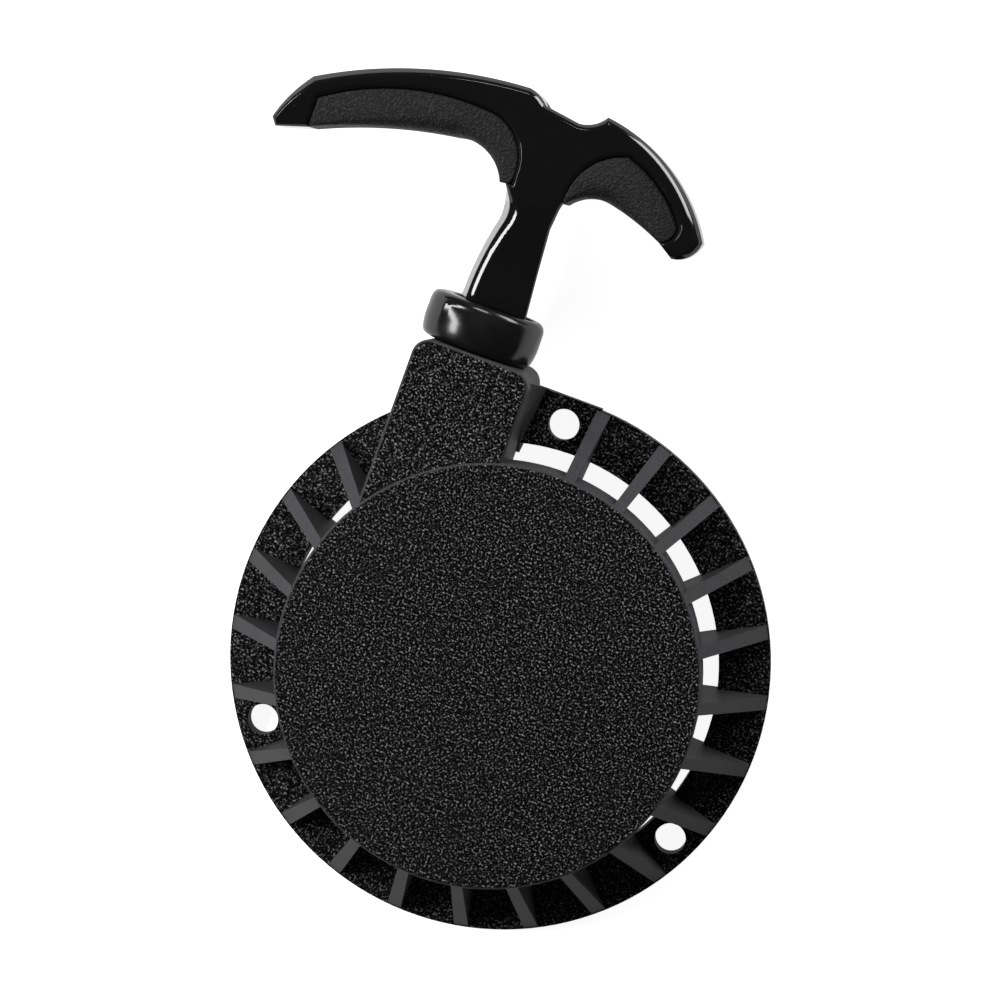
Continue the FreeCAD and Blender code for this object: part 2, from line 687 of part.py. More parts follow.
def nub_in_plate(share):
    """Where the nub stands in the friction plate's own frame, share 0 with the pawls in and 1 with them out."""
    nub = pawl_point(NUB_DISTANCE, PAWL_SWING_DEG * share)
    turn = math.radians(-PLATE_TURN_DEG * share)
    x = nub.x * math.cos(turn) - nub.y * math.sin(turn)
    y = nub.x * math.sin(turn) + nub.y * math.cos(turn)
    return Vector(x, y, 0)


def make_friction_plate():
    """Pressed disc with two lobes; a slot in each lobe carries a pawl's nub outwards as the plate lags."""
    z0, z1 = PLATE_LOW, PLATE_LOW + PLATE_T
    disc = rod(13.0, z0, z1)
    first = math.degrees(math.atan2(nub_in_plate(0).y, nub_in_plate(0).x))
    last = math.degrees(math.atan2(nub_in_plate(1).y, nub_in_plate(1).x))
    lobe_face = plate_from(
        tuple(polar(11.0, first + 22)),
        [
            tuple(polar(PLATE_R - 2.5, first + 9)),
            (tuple(polar(PLATE_R, (first + last) / 2)), tuple(polar(PLATE_R, last - 9))),
            tuple(polar(11.0, last - 22)),
        ],
        z0,
        z1,
    )
    plate = fused([disc, lobe_face, turned(lobe_face, 180.0)])
    plate = plate.makeFillet(2.0, [e for e in plate.Edges if upright_corner(e, 15.0)])
    slot = curved_slot([nub_in_plate(share) for share in (0, 0.5, 1)], NUB_R + GAP, z0 - 1, z1 + 1)
    plate = plate.cut(slot).cut(turned(slot, 180.0))
    return plate.cut(rod(POST_R + 0.1, z0 - 1, z1 + 1))


def upright_corner(edge, beyond_r):
    box = edge.BoundBox
    is_upright = box.ZMax - box.ZMin > PLATE_T - 0.01 and box.XMax - box.XMin < 0.01 and box.YMax - box.YMin < 0.01
    return is_upright and math.hypot(box.XMin, box.YMin) > beyond_r


def curved_slot(points, radius, z0, z1):
    """The room that a pin of this radius sweeps along the arc through three points."""
    arc = Part.Arc(*points).toShape()
    centre = arc.Curve.Center
    middle_r = arc.Curve.Radius
    low, high = sorted(math.degrees(math.atan2(p.y - centre.y, p.x - centre.x)) for p in (points[0], points[2]))
    band = tube(middle_r + radius, middle_r - radius, z0, z1, centre.x, centre.y)
    reach = middle_r * 3
    corners = [centre, centre + polar(reach, low), centre + polar(reach, high), centre]
    wedge = Part.Face(Part.makePolygon([Vector(c.x, c.y, z0) for c in corners])).extrude(Vector(0, 0, z1 - z0))
    ends = [rod(radius, z0, z1, p.x, p.y) for p in (points[0], points[2])]
    return fused([band.common(wedge)] + ends)


def make_brake_spring():
    """Conical spring washer that presses the friction plate away from the reel."""
    z0 = PLATE_LOW + PLATE_T + 0.05
    z1 = REEL_BOTTOM - 0.02
    t = 0.35
    profile = [(7.0, z1 - t), (7.0, z1), (10.8, z0 + t), (10.8, z0)]
    face = Part.Face(Part.makePolygon([Vector(r, 0, z) for r, z in profile + profile[:1]]))
    return face.revolve(Vector(0, 0, 0), UP, 360)


# ---- centre fastener ----------------------------------------------------------------------------------------
def make_centre_washer():
    return tube(8.6, 2.6, POST_END_Z - WASHER_T, POST_END_Z)


def make_centre_screw():
    """Hexagon screw, M5, with a washer face."""
    head_top = POST_END_Z - WASHER_T
    flats = 8.0
    corner_r = flats / math.sqrt(3)
    points = [polar(corner_r, 60.0 * k, head_top - SCREW_HEAD_T) for k in range(7)]
    hexagon = Part.Face(Part.makePolygon(points)).extrude(Vector(0, 0, SCREW_HEAD_T - 0.3))
    cone = Part.makeCone(corner_r - 0.7, corner_r + 1.8, SCREW_HEAD_T, Vector(0, 0, head_top - SCREW_HEAD_T), UP)
    head = hexagon.common(cone)
    washer_face = rod(3.9, head_top - 0.3, head_top)
    shank = rod(2.45, head_top, 21.0)
    return fused([head, washer_face, shank])


# ---- write every sub-part -----------------------------------------------------------------------------------
NODES = {
    "housing": make_housing,
    "threaded_insert": make_threaded_insert,
    "rope_eyelet": make_rope_eyelet,
    "handle_bumper": make_handle_bumper,
    "handle_body": make_handle_body,
    "grip_pad_left": lambda: make_pad(LEFT_PAD_OUTLINE),
    "grip_pad_right": lambda: make_pad(RIGHT_PAD_OUTLINE),
    "rope_stop_plate": make_rope_stop_plate,
    "rope_handle_knot": make_rope_handle_knot,
    "rope_lead": make_rope_lead,
    "rope_winding": make_rope_winding,
    "rope_reel_knot": make_rope_reel_knot,
    "reel": make_reel,
    "reel_bush": make_reel_bush,
    "thrust_washer": make_thrust_washer,
    "spring_case": make_spring_case,
    "spring_cover": make_spring_cover,
    "recoil_spring": make_recoil_spring,
    "pawl_1": lambda: make_pawl(0),
    "pawl_2": lambda: make_pawl(1),
    "pawl_pins": make_pawl_pins,
    "pawl_springs": make_pawl_springs,
    "friction_plate": make_friction_plate,
    "brake_spring": make_brake_spring,
    "centre_washer": make_centre_washer,
    "centre_screw": make_centre_screw,
}

os.makedirs("parts", exist_ok=True)
for name, make in NODES.items():
    shape = make()
    shape.exportStep("parts/%s.step" % name)
    box = shape.BoundBox
    print(
        "%-18s solids %d valid %s volume %9.1f  x %.1f..%.1f  y %.1f..%.1f  z %.1f..%.1f"
        % (name, len(shape.Solids), shape.isValid(), shape.Volume, box.XMin, box.XMax, box.YMin, box.YMax,
           box.ZMin, box.ZMax)
    )
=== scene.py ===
import json
import math

import bmesh
import bpy
from mathutils import Matrix, Vector


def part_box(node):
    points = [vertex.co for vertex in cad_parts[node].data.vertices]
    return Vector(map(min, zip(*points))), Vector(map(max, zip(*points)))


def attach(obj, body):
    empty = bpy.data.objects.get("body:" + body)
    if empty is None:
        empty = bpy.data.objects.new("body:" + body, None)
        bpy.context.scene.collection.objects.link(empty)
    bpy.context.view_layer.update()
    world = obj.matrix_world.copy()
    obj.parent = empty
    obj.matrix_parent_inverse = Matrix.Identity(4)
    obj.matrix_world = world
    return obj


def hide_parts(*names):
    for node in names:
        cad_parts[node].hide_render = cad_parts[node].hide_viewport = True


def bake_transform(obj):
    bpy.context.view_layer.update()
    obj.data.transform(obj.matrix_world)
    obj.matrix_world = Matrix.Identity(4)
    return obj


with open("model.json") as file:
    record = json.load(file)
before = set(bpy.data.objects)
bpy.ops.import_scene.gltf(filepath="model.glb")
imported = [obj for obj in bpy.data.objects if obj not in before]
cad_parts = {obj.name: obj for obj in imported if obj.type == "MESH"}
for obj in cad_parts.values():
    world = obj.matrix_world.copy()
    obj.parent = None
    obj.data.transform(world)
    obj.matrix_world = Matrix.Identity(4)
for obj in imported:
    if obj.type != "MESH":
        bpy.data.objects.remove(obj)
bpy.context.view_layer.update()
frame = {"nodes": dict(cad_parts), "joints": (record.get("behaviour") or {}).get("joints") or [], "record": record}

# Recoil starter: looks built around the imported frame. Metres, same frame as the CAD.
MM = 0.001

# ---- places worked out from the frame -----------------------------------------------------------------
lead_low, lead_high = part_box("rope_lead")
ROPE_X = (lead_low.x + lead_high.x) / 2
ROPE_Z = (lead_low.z + lead_high.z) / 2
ROPE_R = (lead_high.x - lead_low.x) / 2
bumper_low, bumper_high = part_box("handle_bumper")
HANDLE_FOOT_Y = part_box("handle_body")[0].y
KNOT_FLOOR_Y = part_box("rope_stop_plate")[0].y
NECK_END_Y = 76.65 * MM


# ---- small helpers ------------------------------------------------------------------------------------
def link(obj):
    bpy.context.scene.collection.objects.link(obj)
    return obj


def mesh_object(name, verts, faces):
    mesh = bpy.data.meshes.new(name)
    mesh.from_pydata([tuple(v) for v in verts], [], faces)
    mesh.update()
    return link(bpy.data.objects.new(name, mesh))


def shade(obj, smooth_deg=None):
    """Smooth shading, with sharp edges where faces meet at more than smooth_deg."""
    for poly in obj.data.polygons:
        poly.use_smooth = True
    if smooth_deg is not None:
        obj.data.set_sharp_from_angle(angle=math.radians(smooth_deg))


def apply_modifiers(obj):
    depsgraph = bpy.context.evaluated_depsgraph_get()
    final = bpy.data.meshes.new_from_object(obj.evaluated_get(depsgraph))
    obj.modifiers.clear()
    obj.data = final


def arc_between(a, m, b, step):
    """Points along the circle arc a, m, b, without a itself."""
    d = 2 * (a[0] * (m[1] - b[1]) + m[0] * (b[1] - a[1]) + b[0] * (a[1] - m[1]))
    sa, sm, sb = (p[0] ** 2 + p[1] ** 2 for p in (a, m, b))
    cx = (sa * (m[1] - b[1]) + sm * (b[1] - a[1]) + sb * (a[1] - m[1])) / d
    cy = (sa * (b[0] - m[0]) + sm * (a[0] - b[0]) + sb * (m[0] - a[0])) / d
    radius = math.hypot(a[0] - cx, a[1] - cy)
    start = math.atan2(a[1] - cy, a[0] - cx)
    turn = (math.atan2(b[1] - cy, b[0] - cx) - start) % (2 * math.pi)
    middle = (math.atan2(m[1] - cy, m[0] - cx) - start) % (2 * math.pi)
    if middle > turn:
        turn -= 2 * math.pi
    count = max(2, round(abs(turn) * radius / step))
    return [
        (cx + radius * math.cos(start + turn * k / count), cy + radius * math.sin(start + turn * k / count))
        for k in range(1, count + 1)
    ]


def outline_points(outline, step=1.2):
    """Points of an outline of (step, width), and the width at each.

    A step is a point, or the (middle, end) of an arc.
    """
    (first, width), rest = outline[0], outline[1:]
    points = [first]
    widths = [width]
    for part, end_width in rest:
        more = arc_between(points[-1], part[0], part[1], step) if isinstance(part[0], tuple) else [part]
        for k, point in enumerate(more, start=1):
            points.append(point)
            widths.append(width + (end_width - width) * k / len(more))
        width = end_width
    return points, widths


SHARPEST_MITRE = 0.35


def inward(points):
    """For each point of a loop, how far setting its outline in by 1 moves it; sharp corners are held back."""
    count = len(points)
    area = sum(points[k - 1][0] * points[k][1] - points[k][0] * points[k - 1][1] for k in range(count))
    side = 1.0 if area > 0 else -1.0
    moves = []
    for k in range(count):
        before = (Vector(points[k]) - Vector(points[k - 1])).normalized()
        after = (Vector(points[(k + 1) % count]) - Vector(points[k])).normalized()
        n0 = Vector((-before.y, before.x)) * side
        n1 = Vector((-after.y, after.x)) * side
        moves.append((n0 + n1) / max(SHARPEST_MITRE, 1.0 + n0.dot(n1)))
    return moves


def lathe(name, profile, centre, axis_matrix, segments=96):
    """Turns (radius, height) points round an axis.

    Radius 0 closes an end, and a closed profile repeats its start.
    """
    closed = profile[0] == profile[-1]
    ring_points = profile[:-1] if closed else profile
    verts, faces, rings = [], [], []
    for radius, height in ring_points:
        if radius == 0:
            rings.append([len(verts)])
            verts.append(Vector((0, 0, height)))
            continue
        rings.append(list(range(len(verts), len(verts) + segments)))
        for k in range(segments):
            a = 2 * math.pi * k / segments
            verts.append(Vector((radius * math.cos(a), radius * math.sin(a), height)))
    pairs = list(zip(rings, rings[1:]))
    if closed:
        pairs.append((rings[-1], rings[0]))
    for low, high in pairs:
        for k in range(segments):
            n = (k + 1) % segments
            corners = [low[k % len(low)], low[n % len(low)], high[n % len(high)], high[k % len(high)]]
            unique = list(dict.fromkeys(corners))
            if len(unique) > 2:
                faces.append(unique)
    obj = mesh_object(name, [centre + axis_matrix @ v for v in verts], faces)
    fix_normals(obj)
    return obj


def fix_normals(obj):
    bm = bmesh.new()
    bm.from_mesh(obj.data)
    bmesh.ops.recalc_face_normals(bm, faces=bm.faces)
    bm.to_mesh(obj.data)
    bm.free()


def round_profile(points, radii, steps=8):
    """Polyline of (radius, height) with its corners rounded; radii are for the corners between its ends."""
    out = [points[0]]
    for before, corner, after, r in zip(points, points[1:], points[2:], radii):
        if r <= 0:
            out.append(corner)
            continue
        a = Vector(before) - Vector(corner)
        b = Vector(after) - Vector(corner)
        reach = min(r, a.length, b.length)
        p0 = Vector(corner) + a.normalized() * reach
        p2 = Vector(corner) + b.normalized() * reach
        for k in range(steps + 1):
            t = k / steps
            p = p0 * (1 - t) ** 2 + Vector(corner) * 2 * t * (1 - t) + p2 * t ** 2
            out.append((p.x, p.y))
    out.append(points[-1])
    return out


# local Z of a lathe laid along the rope
ALONG_ROPE = Matrix(((1, 0, 0), (0, 0, 1), (0, -1, 0)))


# ---- materials ----------------------------------------------------------------------------------------
class Nodes:
    """Small wrapper that makes shader nodes and links them."""

    def __init__(self, name):
        self.material = bpy.data.materials.new(name)
        self.material.use_nodes = True
        self.tree = self.material.node_tree
        self.bsdf = self.tree.nodes["Principled BSDF"]

    def new(self, kind, values=None, **settings):
        node = self.tree.nodes.new(kind)
        for key, value in settings.items():
            setattr(node, key, value)
        for key, value in (values or {}).items():
            if isinstance(value, bpy.types.NodeSocket):
                self.tree.links.new(value, node.inputs[key])
            else:
                node.inputs[key].default_value = value
        return node

    def place(self):
        return self.new("ShaderNodeTexCoord").outputs["Object"]

    def noise(self, scale, detail=2.0, roughness=0.5, vector=None, distortion=0.0):
        node = self.new("ShaderNodeTexNoise", {
            "Vector": vector or self.place(), "Scale": scale, "Detail": detail, "Roughness": roughness,
            "Distortion": distortion,
        })
        return node.outputs["Fac"]

    def cells(self, scale):
        node = self.new("ShaderNodeTexVoronoi", {"Vector": self.place(), "Scale": scale}, feature="F1")
        return node.outputs["Distance"]

    def ramp(self, fac, low, high, value_low=0.0, value_high=1.0):
        node = self.new("ShaderNodeMapRange", {
            "Value": fac, "From Min": low, "From Max": high, "To Min": value_low, "To Max": value_high,
        }, interpolation_type="SMOOTHSTEP")
        return node.outputs["Result"]

    def maths(self, operation, a, b):
        return self.new("ShaderNodeMath", {0: a, 1: b}, operation=operation).outputs[0]

    def mix_value(self, fac, a, b):
        return self.new("ShaderNodeMix", {0: fac, 2: a, 3: b}, data_type="FLOAT").outputs[0]

    def mix_colour(self, fac, a, b):
        return self.new("ShaderNodeMix", {0: fac, 6: a, 7: b}, data_type="RGBA").outputs[2]

    def bump(self, height, strength, distance, normal=None):
        values = {"Height": height, "Strength": strength, "Distance": distance}
        if normal is not None:
            values["Normal"] = normal
        return self.new("ShaderNodeBump", values).outputs["Normal"]

    def set(self, **sockets):
        for key, value in sockets.items():
            name = key.replace("_", " ")
            if isinstance(value, bpy.types.NodeSocket):
                self.tree.links.new(value, self.bsdf.inputs[name])
            else:
                self.bsdf.inputs[name].default_value = value
        return self.material


def grey(value, blue=1.0):
    """Neutral colour, with its blue scaled."""
    return (value, value, value * blue, 1.0)


def housing_plastic():
    """Black moulding: coarse spark-eroded grain on level faces with painted glints in its colour, fine satin on
    walls and rib tops.
    """
    n = Nodes("housing_plastic")
    normal = n.new("ShaderNodeTexCoord").outputs["Normal"]
    normal_z = n.new("ShaderNodeSeparateXYZ", {0: normal}).outputs["Z"]
    level = n.ramp(normal_z, 0.90, 0.985)
    grain = n.noise(scale=1750.0, detail=2.0, roughness=0.6)
    fine = n.noise(scale=3000.0, detail=2.0, roughness=0.6)
    broad = n.noise(scale=45.0, detail=2.0, roughness=0.5)
    # Painted glints: the grain's highest spots are coloured light grey, standing in for the sparkle of the lamps
    # on it.
    lit = n.new("ShaderNodeMapRange", {"Value": grain, "From Min": 0.44, "From Max": 0.68}).outputs["Result"]
    painted_glint = n.maths("POWER", lit, 3.5)
    level_colour = n.mix_colour(painted_glint, grey(0.0012), grey(0.34))
    wall_colour = n.mix_colour(n.ramp(fine, 0.3, 0.7), grey(0.028, blue=1.06), grey(0.062, blue=1.06))
    colour = n.mix_colour(level, wall_colour, level_colour)
    worn = n.mix_colour(n.ramp(broad, 0.5, 0.8, 0.0, 0.25), colour, grey(0.008))
    rough_level = n.ramp(grain, 0.42, 0.7, 0.36, 0.26)
    rough_wall = n.ramp(fine, 0.3, 0.7, 0.44, 0.56)
    rough = n.mix_value(level, rough_wall, rough_level)
    fine_bump = n.bump(fine, strength=0.25, distance=0.00012)
    coarse_height = n.maths("MULTIPLY", level, grain)
    relief = n.bump(coarse_height, strength=0.3, distance=0.0003, normal=fine_bump)
    return n.set(Base_Color=worn, Roughness=rough, Normal=relief, Specular_IOR_Level=0.09)


def handle_plastic():
    """High-gloss black moulding with a faint ripple, hairline scuffs and a little dust."""
    n = Nodes("handle_plastic")
    ripple = n.noise(scale=60.0, detail=1.0, roughness=0.4)
    stretch = n.new("ShaderNodeMapping", {"Vector": n.place(), "Scale": (1.0, 0.08, 1.0)}).outputs["Vector"]
    scuff = n.noise(scale=2600.0, detail=3.0, roughness=0.7, vector=stretch)
    dust = n.ramp(n.noise(scale=1500.0, detail=1.0, roughness=0.5), 0.80, 0.84)
    colour = n.mix_colour(dust, grey(0.004), grey(0.05))
    rough = n.maths("ADD", n.ramp(scuff, 0.55, 0.8, 0.075, 0.16), n.maths("MULTIPLY", dust, 0.4))
    scratches = n.bump(scuff, strength=0.015, distance=0.0001)
    relief = n.bump(ripple, strength=0.04, distance=0.0006, normal=scratches)
    return n.set(
        Base_Color=colour, Roughness=rough, Normal=relief, Specular_IOR_Level=0.5,
        Coat_Weight=0.25, Coat_Roughness=0.05,
    )


def grip_rubber():
    """Charcoal soft-touch pad with a leathery grain, with painted shade in its hollows and painted sheen on its
    raised tops.
    """
    n = Nodes("grip_rubber")
    folds = n.noise(scale=1300.0, detail=3.0, roughness=0.62, distortion=0.6)
    pebbles = n.ramp(n.cells(scale=1500.0), 0.0, 0.8, 1.0, 0.0)
    broad = n.noise(scale=90.0, detail=2.0, roughness=0.5)
    height = n.maths("ADD", n.maths("MULTIPLY", pebbles, 0.45), n.maths("MULTIPLY", folds, 0.9))
    # Painted shade and sheen: the grain's hollows are coloured darker and its raised tops lighter.
    colour = n.mix_colour(n.ramp(height, 0.45, 0.95), grey(0.0035, blue=1.12), grey(0.018, blue=1.14))
    colour = n.mix_colour(n.ramp(broad, 0.4, 0.7, 0.0, 0.35), colour, grey(0.016, blue=1.12))
    rough = n.ramp(height, 0.45, 0.95, 0.62, 0.44)
    relief = n.bump(height, strength=0.75, distance=0.00045)
    return n.set(
        Base_Color=colour, Roughness=rough, Normal=relief, Specular_IOR_Level=0.27,
        Sheen_Weight=0.06, Sheen_Roughness=0.5,
    )


def bumper_rubber():
    """Satin black rubber with a soft moulded skin."""
    n = Nodes("bumper_rubber")
    skin = n.noise(scale=1400.0, detail=3.0, roughness=0.6)
    smear = n.noise(scale=130.0, detail=2.0, roughness=0.5)
    colour = n.mix_colour(n.ramp(smear, 0.4, 0.75), grey(0.005), grey(0.010))
    rough = n.ramp(smear, 0.35, 0.7, 0.15, 0.22)
    relief = n.bump(skin, strength=0.06, distance=0.00012)
    return n.set(Base_Color=colour, Roughness=rough, Normal=relief, Specular_IOR_Level=0.5)


def rope_cord():
    """Braided nylon: crossing strands with loose filaments."""
    n = Nodes("rope_cord")
    wave = {"Vector": n.place(), "Scale": 420.0, "Distortion": 3.0, "Detail": 2.0, "Detail Scale": 2.0}
    strands = n.new("ShaderNodeTexWave", wave, bands_direction="DIAGONAL").outputs["Fac"]
    hair = n.noise(scale=5200.0, detail=2.0, roughness=0.7)
    colour = n.mix_colour(strands, grey(0.018), grey(0.075))
    colour = n.mix_colour(n.ramp(hair, 0.6, 0.8, 0.0, 0.5), colour, grey(0.16))
    fuzz = n.bump(hair, strength=0.3, distance=0.0001)
    relief = n.bump(strands, strength=0.7, distance=0.0003, normal=fuzz)
    return n.set(Base_Color=colour, Roughness=0.72, Normal=relief, Sheen_Weight=0.3, Sheen_Roughness=0.4)


def reel_plastic():
    """Dark nylon, clouded by the flow of the moulding."""
    n = Nodes("reel_plastic")
    flow = n.noise(scale=70.0, detail=2.0, roughness=0.5)
    fine = n.noise(scale=2400.0, detail=2.0, roughness=0.6)
    colour = n.mix_colour(n.ramp(flow, 0.3, 0.7), grey(0.035), grey(0.055))
    rough = n.ramp(fine, 0.3, 0.7, 0.36, 0.5)
    relief = n.bump(fine, strength=0.12, distance=0.0001)
    return n.set(Base_Color=colour, Roughness=rough, Normal=relief, Specular_IOR_Level=0.5)


def metal(name, low, high, rough_low, rough_high, brushed, stains):
    """Plated or bare metal: fine brushing, cloudy plating between two colours, and dull spots."""
    n = Nodes(name)
    stretch = n.new("ShaderNodeMapping", {"Vector": n.place(), "Scale": (1.0, 1.0, 8.0)}).outputs["Vector"]
    lines = n.noise(scale=2400.0, detail=3.0, roughness=0.65, vector=stretch)
    cloud = n.noise(scale=160.0, detail=3.0, roughness=0.6)
    spots = n.ramp(n.noise(scale=520.0, detail=2.0, roughness=0.6), 0.62, 0.72)
    colour = n.mix_colour(n.ramp(cloud, 0.3, 0.7), low, high)
    dull = tuple(c * 0.55 for c in low[:3]) + (1.0,)
    colour = n.mix_colour(n.maths("MULTIPLY", spots, stains), colour, dull)
    wear = n.maths("ADD", n.maths("MULTIPLY", cloud, 0.6), n.maths("MULTIPLY", lines, 0.4))
    rough = n.ramp(wear, 0.35, 0.65, rough_low, rough_high)
    relief = n.bump(lines, strength=brushed, distance=0.00008)
    return n.set(Base_Color=colour, Metallic=1.0, Roughness=rough, Normal=relief)


MATERIALS = {
    "housing_plastic": housing_plastic(),
    "handle_plastic": handle_plastic(),
    "grip_rubber": grip_rubber(),
    "bumper_rubber": bumper_rubber(),
    "rope_cord": rope_cord(),
    "reel_plastic": reel_plastic(),
    "bright_steel": metal("bright_steel", grey(0.5), grey(0.62), 0.22, 0.34, 0.15, 0.3),
    "zinc_sheet": metal("zinc_sheet", (0.46, 0.47, 0.47, 1), (0.6, 0.6, 0.57, 1), 0.26, 0.42, 0.2, 0.4),
    "hard_steel": metal("hard_steel", (0.2, 0.195, 0.19, 1), (0.33, 0.32, 0.31, 1), 0.3, 0.45, 0.3, 0.6),
    "spring_steel": metal("spring_steel", (0.1, 0.12, 0.17, 1), (0.2, 0.21, 0.25, 1), 0.22, 0.34, 0.2, 0.4),
    "screw_steel": metal("screw_steel", (0.55, 0.47, 0.26, 1), (0.62, 0.6, 0.45, 1), 0.24, 0.36, 0.15, 0.3),
    "brass": metal("brass", (0.62, 0.42, 0.16, 1), (0.74, 0.55, 0.26, 1), 0.22, 0.36, 0.2, 0.3),
    "bronze": metal("bronze", (0.42, 0.24, 0.1, 1), (0.55, 0.35, 0.18, 1), 0.35, 0.5, 0.2, 0.5),
}


def dress(obj, slot_name):
    obj.data.materials.clear()
    obj.data.materials.append(MATERIALS[slot_name])


def dress_cad_nodes():
    """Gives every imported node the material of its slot."""
    for part in frame["record"]["subparts"]:
        node = frame["nodes"][part["node"]]
        material = MATERIALS[part["material_slot"]]
        if not node.material_slots:
            node.data.materials.append(material)
        for s in node.material_slots:
            s.material = material


# ---- handle -------------------------------------------------------------------------------------------
# Numbers in this section are in millimetres and degrees. Outlines are across from the rope axis, and along Y.
# After each step stands how wide the edge is broken at the step's end.
FOOT = HANDLE_FOOT_Y / MM
BODY_OUTLINE = [
    ((-8.9, FOOT), 0.9),
    ((-8.7, 90.6), 2.2),
    (((-8.1, 100.0), (-6.35, 109.8)), 2.3),
    (((-5.9, 113.0), (-6.35, 116.0)), 2.1),
    ((-8.0, 120.2), 0.6),
    ((-6.3, 120.6), 0.8),
    (((-8.6, 131.2), (-15.2, 135.7)), 1.4),
    (((-32.0, 135.6), (-60.4, 124.4)), 1.4),
    ((-60.4, 116.5), 1.2),
    ((-68.7, 113.9), 0.8),
    ((-70.2, 115.9), 1.1),
    (((-67.4, 123.2), (-63.6, 129.2)), 2.4),
    (((-38.7, 140.1), (-9.6, 145.1)), 1.7),
    (((-6.4, 143.9), (-4.3, 142.2)), 1.4),
    ((5.2, 140.8), 1.4),
    (((8.5, 141.8), (11.6, 144.8)), 1.6),
    (((30.4, 138.1), (45.2, 122.9)), 2.0),
    (((43.2, 118.5), (39.0, 116.5)), 1.5),
    ((34.7, 119.3), 0.3),
    (((37.7, 121.6), (37.9, 124.4)), 1.2),
    (((31.0, 131.6), (20.1, 137.0)), 1.4),
    (((11.8, 132.0), (8.1, 121.0)), 0.9),
    (((6.5, 117.5), (5.7, 113.0)), 0.9),
    ((7.9, FOOT), 0.9),
]
LEFT_PAD_OUTLINE = [
    ((-6.3, 120.6), 0.3),
    (((-8.6, 131.2), (-15.2, 135.6)), 0.7),
    (((-32.0, 135.5), (-60.4, 124.3)), 0.7),
    ((-60.4, 116.6), 0.7),
    (((-44.0, 122.7), (-24.0, 127.0)), 4.6),
    (((-15.1, 126.3), (-9.0, 120.0)), 0.5),
]
RIGHT_PAD_OUTLINE = [
    ((8.1, 120.9), 0.3),
    (((11.9, 131.9), (20.1, 136.9)), 0.7),
    (((30.9, 131.4), (37.8, 124.4)), 0.7),
    (((37.5, 121.7), (34.6, 119.3)), 0.7),
    (((27.2, 122.2), (19.1, 124.3)), 4.6),
    (((13.0, 123.6), (8.5, 120.2)), 0.5),
]
# Tongues of the gloss body that run inside the pads.
LEFT_TONGUE_OUTLINE = [
    ((-6.0, 128.0), 0.3),
    (((-9.0, 131.0), (-12.5, 132.6)), 0.3),
    (((-33.0, 131.0), (-60.9, 120.6)), 0.3),
    (((-38.0, 138.0), (-6.0, 140.0)), 0.3),
]
RIGHT_TONGUE_OUTLINE = [
    ((6.0, 128.0), 0.3),
    (((12.0, 131.0), (19.5, 131.6)), 0.3),
    (((29.0, 127.6), (36.8, 121.6)), 0.3),
    (((27.0, 136.0), (6.0, 140.0)), 0.3),
]
TONGUE_HALF = 3.0
# How an edge is broken, from the wall to the flat face: (inset, depth below it), as shares of its width.
CHAMFER = [
    (0.0, 1.10), (0.012, 0.99), (0.06, 0.90), (0.40, 0.48),
    (0.70, 0.20), (0.93, 0.035), (0.99, 0.008), (1.08, 0.0),
]
ROUND_STEP_DEG = 15
ROUND = [
    (1 - math.cos(math.radians(turn)), 1 - math.sin(math.radians(turn)))
    for turn in range(0, 90 + ROUND_STEP_DEG, ROUND_STEP_DEG)
]
HEAD_HALF = 10.0
STEM_HALF = 7.2
# The stem swells to the head's thickness between these two heights, in so many strips.
SWELL_START = 98.0
SWELL_END = 124.0
SWELL_STRIPS = 26
# The stem is turned about the rope, within this reach of it; the turn dies out over the fade below its end.
STEM_TWIST_DEG = 12.0
STEM_REACH = 15.0
TWIST_END = 124.0
TWIST_FADE = 10.0
ROPE_HOLE_R = 2.6
KNOT_POCKET_R = 5.6
ABOVE_HANDLE = 150
PAD_HALF = (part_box("grip_pad_left")[1].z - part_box("grip_pad_left")[0].z) / 2 / MM


def thickness_share(y_mm):
    """Half thickness of the handle along the stem, as a share of the head's."""
    t = min(1.0, max(0.0, (y_mm - SWELL_START) / (SWELL_END - SWELL_START)))
    return (STEM_HALF + (HEAD_HALF - STEM_HALF) * t * t * (3 - 2 * t)) / HEAD_HALF


def plate(name, outline, half, profile):
    """Flat-faced plate from an outline, with both of its rims broken to the profile."""
    points, widths = outline_points(outline)
    moves = inward(points)
    count = len(points)
    verts, faces = [], []
    rings = [(inset, half, depth, -1) for inset, depth in reversed(profile)]
    rings += [(inset, half, depth, 1) for inset, depth in profile]
    for inset, reach, depth, side in rings:
        for point, move, width in zip(points, moves, widths):
            x, y = Vector(point) + move * width * inset
            verts.append(Vector((x, y, side * (reach - width * depth))))
    for r in range(len(rings) - 1):
        for k in range(count):
            n = (k + 1) % count
            faces.append((r * count + k, r * count + n, (r + 1) * count + n, (r + 1) * count + k))
    faces.append(tuple(range(count)))
    faces.append(tuple(range((len(rings) - 1) * count, len(rings) * count)))
    obj = mesh_object(name, verts, faces)
    fix_normals(obj)
    return obj


STRIP_MERGE = 1e-5


def cut_into_strips(obj, levels):
    """Splits every face at planes across Y, so that a later bend along Y leaves the faces flat."""
    bm = bmesh.new()
    bm.from_mesh(obj.data)
    for y in levels:
        bmesh.ops.bisect_plane(
            bm, geom=bm.verts[:] + bm.edges[:] + bm.faces[:], dist=STRIP_MERGE,
            plane_co=(0, y, 0), plane_no=(0, 1, 0),
        )
    bmesh.ops.triangulate(bm, faces=[f for f in bm.faces if len(f.verts) > 4])
    bm.to_mesh(obj.data)
    bm.free()


def cut_with(obj, cutter):
    cut = obj.modifiers.new("cut", "BOOLEAN")
    cut.operation = "DIFFERENCE"
    cut.solver = "EXACT"
    cut.object = cutter
    apply_modifiers(obj)
    bpy.data.objects.remove(cutter)


def into_place(obj):
    """From millimetres about the rope axis to the part's frame."""
    for v in obj.data.vertices:
        v.co = Vector((ROPE_X + v.co.x * MM, v.co.y * MM, ROPE_Z + v.co.z * MM))


